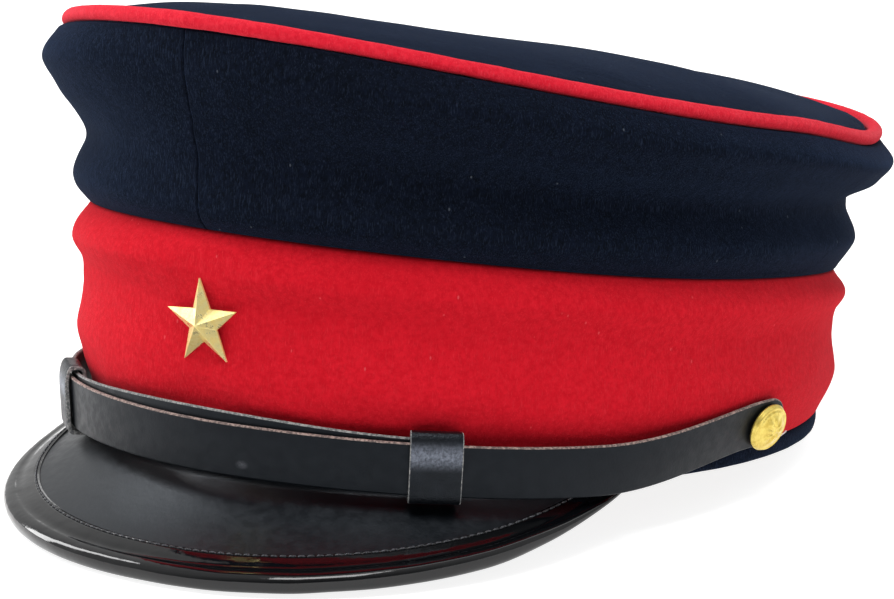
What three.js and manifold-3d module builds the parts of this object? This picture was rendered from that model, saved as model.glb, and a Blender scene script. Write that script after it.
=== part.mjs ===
// A military peaked cap: a navy wool crown with red piping, a red wool band, a leather peak, a chin strap
// held by two keepers and two side buttons, a star badge, and the lining and sweatband inside.
// Units are millimetres. +Z is up as worn, -Y is the front and +X is the wearer's left.
// The origin is the centre of the head opening, in the plane of the band's lower edge.
// Angles round the cap are degrees from the centre front, growing towards +X.

import * as THREE from 'three';
import { mergeVertices } from 'three/addons/utils/BufferGeometryUtils.js';
import Module from 'manifold-3d';

const wasm = await Module();
wasm.setup();

// ---------------------------------------------------------------- driving dimensions

const HEAD = { halfWidth: 82.8, halfLength: 99.8, centreY: 0 };     // inside of the sweatband, a 57 cm head
const FOOT = { halfWidth: 88, halfLength: 105, centreY: 0 };        // outside of the band at its lower edge
const SEAM = { halfWidth: 93.6, halfLength: 110.6, centreY: 0 };    // where the band meets the crown
const EDGE = { halfWidth: 95.3, halfLength: 121.7, centreY: 2.8 };  // middle of the piping round the crown
const SEAM_RISE = { middle: 46.3, forward: 0.104, rear: 2 };        // the seam climbs towards the front
const EDGE_RISE = { middle: 86.8, forward: 0.12, saddle: 5.6, rear: 3.6 };  // so does the crown's edge
const CROWN_DOME = { rise: 11.4, power: 3.7 };   // the middle's height above the edge, and its flatness
const PIPING_RADIUS = 2;
const CLOTH = 1.5;                 // thickness of the wool, with its backing
const GAP = 0.3;                   // clearance between neighbouring pieces
const EDGING_HEIGHT = 4.6;         // navy welt along the band's lower edge

// Layers behind the band and the crown: stand-offs from the wall, and shares of its height.
const STIFFENER = { outer: -2.4, inner: -3.4, top: 0.92 };
const INTERLINING = { outer: -5.5, inner: -6.4, levels: [0.03, 0.86] };
const FRONT_STAY = { outer: -6.8, inner: -8, levels: [0.04, 0.8], halfAngle: 26 };
const LINING_SIDE = { outer: -8.4, inner: -9.2, levels: [0.03, 0.9] };

// Layers under the crown's top: depths under the dome, and the share of the way out that they reach.
const WADDING = { top: 1.9, bottom: 5.4, rim: 3.4, share: 0.93 };
const LINING_TOP = { top: 5.9, bottom: 6.7, share: 0.92 };

const SWEATBAND = { bottom: 3.3, top: 40, thickness: 1.2 };
const WELT_RADIUS = 1.3;

const PEAK = {
  halfAngle: 66.5,                 // where the peak's ends meet the band, from the centre front
  reach: 91.7,                     // from the line through its ends to the tip, seen from above
  drop: 18.9,                      // the tip's fall below the root
  rootDepth: 2.2,                  // the root's middle surface below the band's lower edge
  tuck: 2,                         // how far the root runs in under the band
  endAngle: 89.3,                  // where the outline stops, as an angle round its own curve
  sag: 0.35,                       // extra fall close to the band
};
const PEAK_CURVE = { across: 0.93, forward: 0.9, down: 0.64 };      // powers that shape its outline
const PEAK_SKIVE = { start: 62, left: 0.35, lift: 2 };              // its ends are thinner and rise a little
const PEAK_LAYERS = {              // distances above the peak's middle surface, and back from its edge
  upper: { top: 1.55, bottom: 0.8, back: 1.6 },
  board: { top: 0.45, bottom: -0.45, back: 1.0 },
  lining: { top: -0.8, bottom: -1.35, back: 1.6 },
};
const BINDING_FLAP = 9.4;          // how far the edge binding laps onto the peak

const STRAP = { width: 13, under: [4.3, 5.4], outer: [5.7, 6.9], atButton: [3.8, 5.0], freeEnd: 41 };
const KEEPER = { angle: 37, width: 12, back: 2.8, front: 8.6, leather: 1.1, bottom: -2.8, top: 14.9 };
const BUTTON = { radius: 6.25, height: 10.6, shankRadius: 1.2, holeRadius: 1.7, yaw: 6, droop: 16 };
const PIN = { radius: 0.38, holeRadius: 0.5, halfLength: 2.6 };      // split pin through a button's shank
const STAR = { radius: 11.2, waist: 0.4, height: 35.4, offCentre: 1.6, edge: 0.5, rise: 3.1, lean: -4 };
const PRONG = { radius: 0.5, spread: 3.5, bend: 4 };
const ROUND = 48;                  // straight facets in one turn round the cap

// ---------------------------------------------------------------- materials

const finish = (color, roughness, metalness = 0) => new THREE.MeshStandardMaterial({
  color, roughness, metalness,
});
const navyWool = finish(0x1b2438, 0.95);
const redWool = finish(0xc81e2c, 0.95);
const blackLeather = finish(0x24272b, 0.5);
const patentLeather = finish(0x0e0f12, 0.15);
const tanLeather = finish(0x8a5a34, 0.6);
const blackSateen = finish(0x17181c, 0.6);
const canvas = finish(0xb9aa8a, 0.9);
const fibreBoard = finish(0x6d5a42, 0.9);
const gilt = finish(0xd9b04a, 0.3, 1);

// ---------------------------------------------------------------- solids

const radians = THREE.MathUtils.degToRad;
const between = THREE.MathUtils.lerp;
const smooth = THREE.MathUtils.smoothstep;

// Joins equal corners, drops triangles that have shrunk to a line, and turns every face outwards.
function solidGeometry(points, triangles) {
  const corners = [];
  const places = new Map();
  const place = points.map((point) => {
    const key = point.toArray().map((value) => value.toFixed(5)).join();
    if (!places.has(key)) {
      places.set(key, corners.length);
      corners.push(point);
    }
    return places.get(key);
  });
  const faces = [];
  for (let i = 0; i < triangles.length; i += 3) {
    const [a, b, c] = triangles.slice(i, i + 3).map((corner) => place[corner]);
    if (a !== b && b !== c && c !== a) faces.push([a, b, c]);
  }
  let volume = 0;
  for (const [a, b, c] of faces) {
    volume += corners[a].dot(new THREE.Vector3().crossVectors(corners[b], corners[c]));
  }
  if (volume < 0) faces.forEach((face) => face.reverse());
  const geometry = new THREE.BufferGeometry().setFromPoints(corners);
  geometry.setIndex(faces.flat());
  geometry.computeVertexNormals();
  return geometry;
}

// Skins a row of sections. Each section is a loop with an even number of points; an open row is capped by
// joining each point to its opposite, which suits both a convex loop and a folded strip.
function loft(sections, closed = false) {
  const count = sections[0].length;
  const triangles = [];
  const quad = (a, b, c, d) => triangles.push(a, b, c, a, c, d);
  const spans = closed ? sections.length : sections.length - 1;
  for (let i = 0; i < spans; i += 1) {
    const here = i * count;
    const next = ((i + 1) % sections.length) * count;
    for (let j = 0; j < count; j += 1) {
      const k = (j + 1) % count;
      quad(here + j, here + k, next + k, next + j);
    }
  }
  if (!closed) {
    const last = (sections.length - 1) * count;
    for (let j = 0; j < count / 2 - 1; j += 1) {
      quad(j, count - 1 - j, count - 2 - j, j + 1);
      quad(last + j, last + j + 1, last + count - 2 - j, last + count - 1 - j);
    }
  }
  return solidGeometry(sections.flat(), triangles);
}

function toManifold(geometry) {
  const plain = geometry.clone();
  plain.deleteAttribute('normal');
  plain.deleteAttribute('uv');
  const merged = mergeVertices(plain, 1e-4);
  return new wasm.Manifold(new wasm.Mesh({
    numProp: 3,
    vertProperties: new Float32Array(merged.attributes.position.array),
    triVerts: new Uint32Array(merged.index.array),
  }));
}

function fromManifold(manifold) {
  const mesh = manifold.getMesh();
  const geometry = new THREE.BufferGeometry();
  geometry.setAttribute('position', new THREE.BufferAttribute(new Float32Array(mesh.vertProperties), 3));
  geometry.setIndex([...mesh.triVerts]);
  geometry.computeVertexNormals();
  return geometry;
}

const drill = (geometry, tools) => fromManifold(
  tools.reduce((body, tool) => body.subtract(toManifold(tool)), toManifold(geometry)));
const weld = (pieces) => fromManifold(pieces.map(toManifold).reduce((body, piece) => body.add(piece)));

// A round bar between two points.
function bar(from, to, radius, sides = 10) {
  const span = new THREE.Vector3().subVectors(to, from);
  const geometry = new THREE.CylinderGeometry(radius, radius, span.length(), sides);
  const upright = new THREE.Vector3(0, 1, 0);
  geometry.applyQuaternion(new THREE.Quaternion().setFromUnitVectors(upright, span.normalize()));
  const middle = new THREE.Vector3().addVectors(from, to).multiplyScalar(0.5);
  return geometry.translate(middle.x, middle.y, middle.z);
}

// ---------------------------------------------------------------- the wall of the cap

const seamHeight = (y) => SEAM_RISE.middle - SEAM_RISE.forward * y + SEAM_RISE.rear * smooth(y, -60, 50);
const edgeHeight = (y) => EDGE_RISE.middle - EDGE_RISE.forward * y + EDGE_RISE.saddle * (y / 100) ** 2
  - EDGE_RISE.rear * smooth(y, 0, 61);

const onRing = (ring, angle, height) => {
  const turn = radians(angle);
  const y = ring.centreY - ring.halfLength * Math.cos(turn);
  return new THREE.Vector3(ring.halfWidth * Math.sin(turn), y, height(y));
};

function outward(ring, angle) {
  const turn = radians(angle);
  return new THREE.Vector3(Math.sin(turn) / ring.halfWidth, -Math.cos(turn) / ring.halfLength, 0).normalize();
}

const ringPoint = (ring, angle, height, standOff = 0) => onRing(ring, angle, () => height)
  .addScaledVector(outward(ring, angle), standOff);

// The straight wall between the foot and the seam, at a share of its height, moved outwards.
const bandPoint = (angle, share, standOff) => onRing(FOOT, angle, () => 0)
  .lerp(onRing(SEAM, angle, seamHeight), share).addScaledVector(outward(FOOT, angle), standOff);

const seamAbove = (angle) => seamHeight(-SEAM.halfLength * Math.cos(radians(angle)));
const bandPointAt = (angle, height, standOff) => bandPoint(angle, height / seamAbove(angle), standOff);

const crownPoint = (angle, share, standOff) => onRing(SEAM, angle, seamHeight)
  .lerp(onRing(EDGE, angle, edgeHeight), share).addScaledVector(outward(SEAM, angle), standOff);

const crownHeight = (angle) => onRing(EDGE, angle, edgeHeight).z - onRing(SEAM, angle, seamHeight).z;

const hump = (share, centre, width, height) => height * Math.exp(-(((share - centre) / width) ** 2));

// The soft rolls of the cloth: two on the band, and on the crown a dip with a fuller roll under the piping.
// The badge presses the band's rolls flat behind it, and the stay holds the crown flatter at the front.
const rearShare = (angle) => (1 - Math.cos(radians(angle))) / 2;
const atFront = (angle, spread) => Math.exp((Math.cos(radians(angle)) - 1) / spread);

function bandRoll(share, angle) {
  const rear = rearShare(angle);
  const lower = hump(share, between(0.38, 0.34, rear), 0.2, between(3.7, 3.1, rear));
  const upper = hump(share, between(0.84, 0.86, rear), 0.09, between(3, 1.9, rear));
  return (1 - 0.55 * atFront(angle, 0.022)) * (lower + upper) - 0.4;
}

function crownRoll(share, angle) {
  const rear = rearShare(angle);
  const lower = hump(share, between(0.13, 0.27, rear), 0.09, between(1.8, 1.3, rear));
  const dip = hump(share, between(0.36, 0.52, rear), between(0.11, 0.13, rear), between(2.8, 3.2, rear));
  const upper = hump(share, 0.79, between(0.17, 0.13, rear), between(8.2, 6.2, rear));
  const slump = (1 - rear) * hump(share, 0.6, 0.08, 1.7);
  return (1 - 0.7 * atFront(angle, 0.09)) * (lower - dip + upper + slump);
}

const steps = (count, from = 0, to = 1) => Array.from(
  { length: count + 1 },
  (_, i) => between(from, to, i / count),
);
const fullTurn = steps(ROUND, 0, 360).slice(0, -1);

// A strip folded into a loop: outer points upwards, inner points downwards.
const strip = (outer, inner) => [...outer, ...inner.reverse()];

// A ring whose section is given as [standOff, height] corners on one of the cap's ellipses.
const ringSolid = (ring, corners) => loft(fullTurn.map((angle) => corners.map(
  ([standOff, height]) => ringPoint(ring, angle, height, standOff))), true);

// ---------------------------------------------------------------- crown

const CROWN_LEVELS = 9;

function crownSide(side) {
  const seamHalf = 0.09;
  const angles = steps(ROUND / 2, seamHalf, 180 - seamHalf).map((angle) => side * angle);
  return loft(angles.map((angle) => {
    const top = 1 - (PIPING_RADIUS + GAP + 0.1) / crownHeight(angle);
    const levels = steps(CROWN_LEVELS, 0.006, top);
    const outer = levels.map((share) => crownPoint(angle, share, crownRoll(share, angle)));
    const inner = levels.map((share) => crownPoint(angle, share, crownRoll(share, angle) - CLOTH));
    return strip(outer, inner);
  }));
}

// The domed top surface of the crown, at a share of the way out from its middle.
function domePoint(angle, share, depth) {
  const rim = ringPoint(EDGE, angle, 0, -PIPING_RADIUS - GAP - 0.05);
  const x = rim.x * share;
  const y = between(EDGE.centreY, rim.y, share);
  const z = edgeHeight(y) + 1 + CROWN_DOME.rise * (1 - share ** CROWN_DOME.power) - depth;
  return new THREE.Vector3(x, y, z);
}

// A disc that follows the dome, between two depths under its surface.
function domeDisc(rings, topDepth, bottomDepth, rimDepth = bottomDepth) {
  const rim = rings[rings.length - 1];
  return loft(fullTurn.map((angle) => strip(
    rings.map((share) => domePoint(angle, share, topDepth)),
    rings.map((share) => domePoint(angle, share, between(bottomDepth, rimDepth, (share / rim) ** 3))),
  )), true);
}

const pipingSection = (angle) => {
  const middle = onRing(EDGE, angle, edgeHeight);
  return steps(8, 0, 360).slice(0, -1).map((turn) => middle.clone()
    .addScaledVector(outward(EDGE, angle), PIPING_RADIUS * Math.cos(radians(turn)))
    .add(new THREE.Vector3(0, 0, PIPING_RADIUS * Math.sin(radians(turn)))));
};

// A plain upright layer inside the crown, between two stand-offs and two shares of the height.
const crownLayer = (angles, closed, { inner, outer, levels }) => loft(angles.map((angle) => strip(
  levels.map((share) => crownPoint(angle, share, outer)),
  levels.map((share) => crownPoint(angle, share, inner)),
)), closed);

// ---------------------------------------------------------------- band

// A button is made at the origin, facing +X, and is then turned to its slant and moved onto the strap's face.
// It droops and faces a little forwards, because the strap leans with the band.
const strapFace = bandPointAt(90, BUTTON.height, STRAP.atButton[1]).x;
const facing = (side, geometry) => {
  const turned = side > 0 ? geometry : geometry.rotateZ(Math.PI);
  turned.rotateY(side * radians(BUTTON.droop)).rotateZ(-side * radians(BUTTON.yaw));
  return turned.translate(side * strapFace, 0, BUTTON.height);
};
const alongX = (x) => new THREE.Vector3(x, 0, 0);

const prongAt = (side, y) => new THREE.Vector3(STAR.offCentre + side * PRONG.spread, y, STAR.height);
const shankHole = (side) => facing(side, bar(alongX(-15), alongX(5), BUTTON.holeRadius));
const prongHole = (side) => bar(prongAt(side, -115), prongAt(side, -100), PRONG.radius + GAP);
const shankHoles = () => [-1, 1].map(shankHole);
const prongHoles = () => [-1, 1].map(prongHole);

function redBand() {
  const cloth = loft(fullTurn.map((angle) => {
    const levels = steps(7, (EDGING_HEIGHT + GAP) / seamAbove(angle), 1 - 0.15 / seamAbove(angle));
    return strip(
      levels.map((share) => bandPoint(angle, share, bandRoll(share, angle))),
      levels.map((share) => bandPoint(angle, share, bandRoll(share, angle) - CLOTH)),
    );
  }), true);
  return drill(cloth, [...shankHoles(), ...prongHoles()]);
}

function bandStiffener() {
  const board = loft(fullTurn.map((angle) => {
    const levels = [(EDGING_HEIGHT + GAP) / seamAbove(angle), STIFFENER.top];
    return strip(
      levels.map((share) => bandPoint(angle, share, STIFFENER.outer)),
      levels.map((share) => bandPoint(angle, share, STIFFENER.inner)),
    );
  }), true);
  return drill(board, [...shankHoles(), ...prongHoles()]);
}

const edgingCorners = [
  [STIFFENER.outer, 0], [0.3, 0], [0.9, 1.1],
  [0.9, 3.6], [0.3, EDGING_HEIGHT], [STIFFENER.outer, EDGING_HEIGHT],
];

const weltCorners = steps(6, 0, 360).slice(0, -1).map((turn) => [
  SWEATBAND.thickness + WELT_RADIUS * Math.cos(radians(turn)),
  WELT_RADIUS + GAP + WELT_RADIUS * Math.sin(radians(turn)),
]);

function sweatbandBow() {
  const half = 9;
  const bow = new THREE.Shape();
  bow.moveTo(-1.2, -0.8);
  bow.bezierCurveTo(-4, -4.5, -half, -4.5, -half, 0);
  bow.bezierCurveTo(-half, 4.5, -4, 4.5, -1.2, 0.8);
  bow.lineTo(1.2, 0.8);
  bow.bezierCurveTo(4, 4.5, half, 4.5, half, 0);
  bow.bezierCurveTo(half, -4.5, 4, -4.5, 1.2, -0.8);
  bow.closePath();
  const geometry = new THREE.ExtrudeGeometry(bow, { depth: 1, bevelEnabled: false, curveSegments: 4 });
  return geometry.rotateX(Math.PI / 2).translate(0, HEAD.halfLength - 0.9, 12);
}

// ---------------------------------------------------------------- peak

const PEAK_STATIONS = 28;
const peakRootAngle = (turn) => (turn / 90) * PEAK.halfAngle;

function peakRoot(turn) {
  return ringPoint(FOOT, peakRootAngle(turn), -PEAK.rootDepth, -PEAK.tuck);
}

const nearEnd = (turn) => smooth(Math.abs(turn), PEAK_SKIVE.start, PEAK.endAngle);

// The outline of the peak's edge, as an angle from -90 to 90 round it.
function peakEdge(turn) {
  const end = onRing(FOOT, PEAK.halfAngle, () => 0);
  const across = Math.sin(radians(turn));
  const forward = Math.cos(radians(turn));
  return new THREE.Vector3(
    end.x * Math.sign(across) * Math.abs(across) ** PEAK_CURVE.across,
    end.y - PEAK.reach * forward ** PEAK_CURVE.forward,
    -PEAK.rootDepth - PEAK.drop * forward ** PEAK_CURVE.down + PEAK_SKIVE.lift * nearEnd(turn),
  );
}

function peakMiddle(turn, share) {
  const root = peakRoot(turn);
  const edge = peakEdge(turn);
  const point = root.clone().lerp(edge, share);
  point.z = between(root.z, edge.z, share + PEAK.sag * share * (1 - share));
  return point;
}

function peakNormal(turn, share) {
  const along = peakMiddle(turn + 0.5, share).sub(peakMiddle(turn - 0.5, share));
  const across = peakMiddle(turn, share + 0.01).sub(peakMiddle(turn, share - 0.01));
  return new THREE.Vector3().crossVectors(across, along).normalize();
}

const peakLength = (turn) => peakRoot(turn).distanceTo(peakEdge(turn));
const peakTurns = steps(PEAK_STATIONS, -PEAK.endAngle, PEAK.endAngle);
const peakPoint = (turn, share, above) => peakMiddle(turn, share)
  .addScaledVector(peakNormal(turn, share), above * between(1, PEAK_SKIVE.left, nearEnd(turn)));

// The layers inside the binding stop short of its ends, where only the binding runs on.
function peakLayer({ top, bottom, back }) {
  return loft(peakTurns.slice(2, -2).map((turn) => {
    const shares = steps(3, 0, 1 - back / peakLength(turn));
    return strip(
      shares.map((share) => peakPoint(turn, share, top)),
      shares.map((share) => peakPoint(turn, share, bottom)),
    );
  }));
}

// The binding folds over the edge: [distance beyond the edge, distance above the middle surface].
function peakBinding() {
  return loft(peakTurns.map((turn) => {
    const length = peakLength(turn);
    const flap = -Math.max(1.6, Math.min(BINDING_FLAP, length - 0.6));
    const at = ([beyond, above]) => peakPoint(turn, 1 + beyond / length, above);
    const outer = [[flap, 2.5], [-1.5, 2.5], [1.5, 1.8], [2.5, 0], [1.5, -1.8], [-1.5, -2.5], [flap, -2.5]];
    const inner = [[flap, 1.8], [-1.4, 1.8], [0.3, 1.1], [0.6, 0], [0.3, -1.1], [-1.4, -1.8], [flap, -1.8]];
    return strip(outer.map(at), inner.map(at));
  }));
}

// ---------------------------------------------------------------- chin strap

// The middle of the strap dips a little towards the peak's ends and climbs to the buttons.
function strapHeight(angle) {
  const away = Math.abs(angle);
  return 6.3 - 1.6 * smooth(away, 10, 60) + 7 * smooth(away, 60, 94);
}

// One strap half runs from its button, past the front, to its free end beyond the far keeper. It leans with
// the band, and lies flat under the button where the button clamps it.
function strapHalf(side, [inner, outer], lift) {
  const tipRadius = STRAP.width / 2;
  const degreesPerMm = 180 / (Math.PI * FOOT.halfLength);
  const roundEnd = [0.95, 0.8, 0.5, 0].map((part) => ({
    angle: 90 + tipRadius * part * degreesPerMm,
    half: tipRadius * Math.sqrt(1 - part ** 2),
  }));
  const run = steps(43, 90, -STRAP.freeEnd).slice(1).map((angle) => ({ angle, half: tipRadius }));
  run[run.length - 1].half = tipRadius - 1.5;
  const strap = loft([...roundEnd, ...run].map(({ angle, half }) => {
    const near = smooth(angle, 50, 84);
    const middle = strapHeight(angle) + lift(angle);
    const droop = near * radians(BUTTON.droop);
    const behind = Math.max(-tipRadius, Math.min((angle - 90) / degreesPerMm, tipRadius));
    const yawed = near * behind * Math.tan(radians(BUTTON.yaw));
    const face = (standOff) => [-half, half].map((up) => {
      const height = middle + up * Math.cos(droop);
      const out = standOff + up * Math.sin(droop) + yawed;
      return bandPointAt(side * angle, between(height, BUTTON.height, near), out).setZ(height);
    });
    const [clampedInner, clampedOuter] = STRAP.atButton;
    return strip(face(between(outer, clampedOuter, near)), face(between(inner, clampedInner, near)));
  }));
  return drill(strap, [shankHole(side)]);
}

// The half underneath rides up a little between the keepers.
const underLift = (angle) => 1.2 * (1 - smooth(angle, 50, 70)) + 1.7 * Math.cos(radians(angle * 2.4)) ** 2
  * (Math.abs(angle) < 37.5 ? 1 : 0);

// A leather loop round both straps: sections follow one another round the loop, each a strip along the cap.
function keeper(side) {
  const halfTurn = (KEEPER.width / 2) * (180 / (Math.PI * 97));
  const angles = steps(4, KEEPER.angle - halfTurn, KEEPER.angle + halfTurn);
  const loop = (inset) => {
    const [low, high] = [KEEPER.bottom + inset, KEEPER.top - inset];
    const [back, front] = [KEEPER.back + inset, KEEPER.front - inset];
    const cut = inset ? 0.3 : 1;
    return [
      [back + cut, low], [front - cut, low], [front, low + cut], [front, (low + high) / 2],
      [front, high - cut], [front - cut, high], [back + cut, high], [back, high - cut],
      [back, (low + high) / 2], [back, low + cut],
    ];
  };
  const outer = loop(0);
  const inner = loop(KEEPER.leather);
  const across = ([standOff, height]) => angles.map((angle) => bandPointAt(side * angle, height, standOff));
  return loft(outer.map((corner, i) => strip(across(corner), across(inner[i]))), true);
}

// ---------------------------------------------------------------- buttons and badge

const shankEnd = HEAD.halfWidth + SWEATBAND.thickness + GAP / 2 - strapFace;
const pinPlace = shankEnd + 0.65;
const pinAlong = (radius, sides) => {
  const end = (y) => new THREE.Vector3(pinPlace, y, 0);
  return bar(end(-PIN.halfLength), end(PIN.halfLength), radius, sides);
};

function button(side) {
  const shank = BUTTON.shankRadius;
  const profile = [
    [0, shankEnd], [shank, shankEnd], [shank, GAP], [5.9, GAP], [BUTTON.radius, GAP + 0.4],
    [6, GAP + 1], [5.2, GAP + 1.8], [3.6, GAP + 2.6], [1.8, GAP + 3.1], [0, GAP + 3.2],
  ];
  const dome = new THREE.LatheGeometry(profile.map(([radius, out]) => new THREE.Vector2(radius, out)), 20);
  dome.rotateZ(-Math.PI / 2);
  return facing(side, drill(dome, [pinAlong(PIN.holeRadius)]));
}

const splitPin = (side) => facing(side, pinAlong(PIN.radius, 8));

const starBack = bandPointAt(0, STAR.height, 1.2).y;
const plateFace = bandPointAt(0, STAR.height, STIFFENER.inner - 1.6).y;
const prongTurn = plateFace + PRONG.radius + 0.1;

// The star's back stands clear of the band's rolls; it leans with the band and turns a little on its face.
function starBadge() {
  const outline = steps(10, 0, 360).slice(0, -1).map((turn, i) => {
    const reach = STAR.radius * (i % 2 ? STAR.waist : 1);
    return new THREE.Vector2(reach * Math.sin(radians(turn)), reach * Math.cos(radians(turn)));
  });
  const face = (out) => outline.map((corner) => new THREE.Vector3(corner.x, -out, corner.y));
  const apex = new THREE.Vector3(0, -STAR.edge - STAR.rise, 0);
  const points = [...face(0), ...face(STAR.edge), new THREE.Vector3(), apex];
  const triangles = outline.flatMap((_, i) => {
    const next = (i + 1) % 10;
    return [20, next, i, i, next, next + 10, i, next + 10, i + 10, 21, i + 10, next + 10];
  });
  const star = solidGeometry(points, triangles);
  star.rotateY(radians(STAR.lean)).rotateX(Math.atan2(SEAM.halfLength - FOOT.halfLength, seamAbove(0)));
  star.translate(STAR.offCentre, starBack, STAR.height);
  const prongs = [-1, 1].flatMap((side) => {
    const turn = prongAt(side, prongTurn);
    return [
      bar(prongAt(side, starBack - 0.4), prongAt(side, prongTurn + PRONG.radius * 0.8), PRONG.radius, 8),
      bar(turn, turn.clone().add(new THREE.Vector3(side * PRONG.bend, 0, 0)), PRONG.radius, 8),
    ];
  });
  return weld([star, ...prongs]);
}

function starBackplate() {
  const plate = new THREE.BoxGeometry(13, 0.5, 6).translate(STAR.offCentre, plateFace - 0.25, STAR.height);
  return drill(plate, prongHoles());
}

// ---------------------------------------------------------------- assembly

const cap = new THREE.Group();

function add(name, geometry, material) {
  const mesh = new THREE.Mesh(geometry, material);
  mesh.name = name;
  cap.add(mesh);
}

add('crown_top', domeDisc([0, 0.4, 0.66, 0.84, 0.94, 1], 0, CLOTH), navyWool);
add('crown_side_left', crownSide(1), navyWool);
add('crown_side_right', crownSide(-1), navyWool);
add('crown_piping', loft(fullTurn.map(pipingSection), true), redWool);
const waddingRings = [0, 0.4, 0.66, 0.84, WADDING.share];
add('crown_wadding', domeDisc(waddingRings, WADDING.top, WADDING.bottom, WADDING.rim), canvas);
add('crown_interlining', crownLayer(fullTurn, true, INTERLINING), canvas);
const stayAngles = steps(8, -FRONT_STAY.halfAngle, FRONT_STAY.halfAngle);
add('crown_front_stay', crownLayer(stayAngles, false, FRONT_STAY), fibreBoard);
add('lining_top', domeDisc([0, 0.4, 0.7, LINING_TOP.share], LINING_TOP.top, LINING_TOP.bottom), blackSateen);
add('lining_side', crownLayer(fullTurn, true, LINING_SIDE), blackSateen);

add('red_band', redBand(), redWool);
add('band_edging', ringSolid(FOOT, edgingCorners), navyWool);
add('band_stiffener', bandStiffener(), fibreBoard);
add('sweatband', ringSolid(HEAD, [
  [0, SWEATBAND.bottom], [0, SWEATBAND.top],
  [SWEATBAND.thickness, SWEATBAND.top], [SWEATBAND.thickness, SWEATBAND.bottom],
]), tanLeather);
add('sweatband_welt', ringSolid(HEAD, weltCorners), tanLeather);
add('sweatband_bow', sweatbandBow(), blackSateen);

add('peak_upper', peakLayer(PEAK_LAYERS.upper), blackLeather);
add('peak_board', peakLayer(PEAK_LAYERS.board), fibreBoard);
add('peak_lining', peakLayer(PEAK_LAYERS.lining), blackLeather);
add('peak_binding', peakBinding(), patentLeather);

add('chin_strap_outer', strapHalf(1, STRAP.outer, () => 0), blackLeather);
add('chin_strap_under', strapHalf(-1, STRAP.under, underLift), blackLeather);
for (const [name, side] of [['left', 1], ['right', -1]]) {
  add(`keeper_${name}`, keeper(side), blackLeather);
  add(`button_${name}`, button(side), gilt);
  add(`button_pin_${name}`, splitPin(side), gilt);
}
add('star_badge', starBadge(), gilt);
add('star_backplate', starBackplate(), gilt);

export default cap;
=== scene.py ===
import math

import bmesh
import bpy
import numpy as np
from mathutils import Matrix, Vector


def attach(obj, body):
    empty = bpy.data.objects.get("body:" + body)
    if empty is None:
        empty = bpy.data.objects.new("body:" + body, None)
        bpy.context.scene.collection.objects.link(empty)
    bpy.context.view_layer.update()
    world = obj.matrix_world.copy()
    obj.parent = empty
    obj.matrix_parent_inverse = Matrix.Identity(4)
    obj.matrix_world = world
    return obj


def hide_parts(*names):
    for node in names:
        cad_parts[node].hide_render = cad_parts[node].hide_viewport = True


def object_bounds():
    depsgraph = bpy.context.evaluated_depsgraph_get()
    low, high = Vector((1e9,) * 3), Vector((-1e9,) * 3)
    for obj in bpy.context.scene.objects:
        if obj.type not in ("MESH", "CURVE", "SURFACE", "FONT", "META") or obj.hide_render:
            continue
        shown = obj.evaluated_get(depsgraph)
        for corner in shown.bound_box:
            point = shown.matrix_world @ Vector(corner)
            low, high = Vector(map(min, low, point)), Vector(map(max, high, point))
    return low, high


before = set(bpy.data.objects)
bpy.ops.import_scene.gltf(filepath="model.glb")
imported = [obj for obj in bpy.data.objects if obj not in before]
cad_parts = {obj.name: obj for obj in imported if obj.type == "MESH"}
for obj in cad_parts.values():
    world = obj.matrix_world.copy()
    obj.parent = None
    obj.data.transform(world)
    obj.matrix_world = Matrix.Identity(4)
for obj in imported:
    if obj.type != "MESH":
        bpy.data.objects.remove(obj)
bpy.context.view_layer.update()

# ---- driving dimensions
# Shapes are in millimetres, with the CAD part's dimensions, and become metres when a mesh is made. Rings are
# (half width, half length, centre y). Angles are degrees from the centre front towards +X, the wearer's left.

MM = 0.001
HEAD = (82.8, 99.8, 0.0)
FOOT = (88.0, 105.0, 0.0)
SEAM = (93.6, 110.6, 0.0)
EDGE = (95.3, 121.7, 2.8)
CROWN_DOME = {"rise": 11.4, "power": 3.7}
PIPING_RADIUS = 2.0
CLOTH = 1.5
GAP = 0.3
EDGING_HEIGHT = 4.6
SWEATBAND = {"bottom": 3.3, "top": 40.0, "thickness": 1.2}
WELT_RADIUS = 1.3
STIFFENER = {"outer": -2.4, "inner": -3.4, "top": 0.92}
INTERLINING = {"outer": -5.5, "inner": -6.4, "levels": (0.03, 0.86)}
FRONT_STAY = {"outer": -6.8, "inner": -8.0, "levels": (0.04, 0.8), "half_angle": 26.0}
LINING_SIDE = {"outer": -8.4, "inner": -9.2, "levels": (0.03, 0.9)}
WADDING = {"top": 1.9, "bottom": 5.4, "rim": 3.4, "share": 0.93}
LINING_TOP = {"top": 5.9, "bottom": 6.7, "share": 0.92}
PEAK = {"half_angle": 66.5, "reach": 91.7, "drop": 18.9, "root_depth": 2.2, "tuck": 2.0, "sag": 0.35}
PEAK_CURVE = {"across": 0.93, "forward": 0.9, "down": 0.64}
PEAK_SKIVE = {"start": 62.0, "left": 0.35, "lift": 2.0}
PEAK_END = 89.3
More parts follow.
